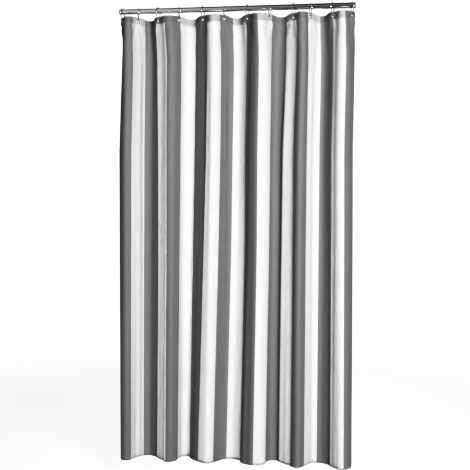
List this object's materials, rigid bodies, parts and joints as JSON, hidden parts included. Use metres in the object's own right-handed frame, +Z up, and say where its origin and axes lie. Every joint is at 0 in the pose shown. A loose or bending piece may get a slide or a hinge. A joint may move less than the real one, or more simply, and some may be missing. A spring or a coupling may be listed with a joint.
{
  "type": "shower curtain",
  "caption": "Striped textile shower curtain with a reinforced, eyeleted header, hung by pear-shaped chromed wire rings on a straight chromed rod; it draws along the rod and swings about it.",
  "frame": {"origin": "centre of the rod's left end face, on the rod's axis", "axes": "+X along the rod towards its right end, -Y towards the viewer (the curtain's front), +Z up"},
  "size_m": [1.0641, 0.1244, 2.043],
  "materials": {
    "rod_chrome": "polished",
    "ring_chrome": "polished",
    "eyelet_plating": "satin",
    "end_rubber": "matte",
    "curtain_fabric": "satin",
    "header_webbing": "matte",
    "hem_cord": "matte"
  },
  "bodies": {
    "rod": {"rod_tube": "rod_chrome", "end_plug_left": "end_rubber", "end_plug_right": "end_rubber"},
    "curtain": {"curtain_panel": "curtain_fabric", "header_tape": "header_webbing", "hem_weight_cord": "hem_cord", "ring_01": "ring_chrome", "eyelet_01": "eyelet_plating", "washer_01": "eyelet_plating"},
    "hanger_02": {"ring_02": "ring_chrome", "eyelet_02": "eyelet_plating", "washer_02": "eyelet_plating"},
    "hanger_03": {"ring_03": "ring_chrome", "eyelet_03": "eyelet_plating", "washer_03": "eyelet_plating"},
    "hanger_04": {"ring_04": "ring_chrome", "eyelet_04": "eyelet_plating", "washer_04": "eyelet_plating"},
    "hanger_05": {"ring_05": "ring_chrome", "eyelet_05": "eyelet_plating", "washer_05": "eyelet_plating"},
    "hanger_06": {"ring_06": "ring_chrome", "eyelet_06": "eyelet_plating", "washer_06": "eyelet_plating"},
    "hanger_07": {"ring_07": "ring_chrome", "eyelet_07": "eyelet_plating", "washer_07": "eyelet_plating"},
    "hanger_08": {"ring_08": "ring_chrome", "eyelet_08": "eyelet_plating", "washer_08": "eyelet_plating"},
    "hanger_09": {"ring_09": "ring_chrome", "eyelet_09": "eyelet_plating", "washer_09": "eyelet_plating"},
    "hanger_10": {"ring_10": "ring_chrome", "eyelet_10": "eyelet_plating", "washer_10": "eyelet_plating"},
    "hanger_11": {"ring_11": "ring_chrome", "eyelet_11": "eyelet_plating", "washer_11": "eyelet_plating"},
    "hanger_12": {"ring_12": "ring_chrome", "eyelet_12": "eyelet_plating", "washer_12": "eyelet_plating"}
  },
  "joints": [
    {"name": "curtain_swing", "type": "hinge", "parent": "rod", "child": "curtain", "pos_m": [0.532, 0, 0], "axis": [1, 0, 0], "range_deg": [-20, 20]},
    {"name": "curtain_draw", "type": "slide", "parent": "curtain", "child": "hanger_12", "axis": [1, 0, 0], "range_m": [-0.724, 0], "deforming": ["curtain_panel", "header_tape", "hem_weight_cord"]},
    {"name": "ring_02_slide", "type": "slide", "parent": "curtain", "child": "hanger_02", "axis": [1, 0, 0], "range_m": [-0.051, 0]},
    {"name": "ring_03_slide", "type": "slide", "parent": "curtain", "child": "hanger_03", "axis": [1, 0, 0], "range_m": [-0.1154, 0]},
    {"name": "ring_04_slide", "type": "slide", "parent": "curtain", "child": "hanger_04", "axis": [1, 0, 0], "range_m": [-0.1833, 0]},
    {"name": "ring_05_slide", "type": "slide", "parent": "curtain", "child": "hanger_05", "axis": [1, 0, 0], "range_m": [-0.2589, 0]},
    {"name": "ring_06_slide", "type": "slide", "parent": "curtain", "child": "hanger_06", "axis": [1, 0, 0], "range_m": [-0.3275, 0]},
    {"name": "ring_07_slide", "type": "slide", "parent": "curtain", "child": "hanger_07", "axis": [1, 0, 0], "range_m": [-0.3996, 0]},
    {"name": "ring_08_slide", "type": "slide", "parent": "curtain", "child": "hanger_08", "axis": [1, 0, 0], "range_m": [-0.4689, 0]},
    {"name": "ring_09_slide", "type": "slide", "parent": "curtain", "child": "hanger_09", "axis": [1, 0, 0], "range_m": [-0.5438, 0]},
    {"name": "ring_10_slide", "type": "slide", "parent": "curtain", "child": "hanger_10", "axis": [1, 0, 0], "range_m": [-0.5964, 0]},
    {"name": "ring_11_slide", "type": "slide", "parent": "curtain", "child": "hanger_11", "axis": [1, 0, 0], "range_m": [-0.6635, 0]}
  ],
  "couplings": [
    {"joint": "ring_02_slide", "follows": "curtain_draw", "ratio": 0.069764},
    {"joint": "ring_03_slide", "follows": "curtain_draw", "ratio": 0.15871},
    {"joint": "ring_04_slide", "follows": "curtain_draw", "ratio": 0.25251},
    {"joint": "ring_05_slide", "follows": "curtain_draw", "ratio": 0.35689},
    {"joint": "ring_06_slide", "follows": "curtain_draw", "ratio": 0.45169},
    {"joint": "ring_07_slide", "follows": "curtain_draw", "ratio": 0.55125},
    {"joint": "ring_08_slide", "follows": "curtain_draw", "ratio": 0.647},
    {"joint": "ring_09_slide", "follows": "curtain_draw", "ratio": 0.75038},
    {"joint": "ring_10_slide", "follows": "curtain_draw", "ratio": 0.82301},
    {"joint": "ring_11_slide", "follows": "curtain_draw", "ratio": 0.91577}
  ]
}
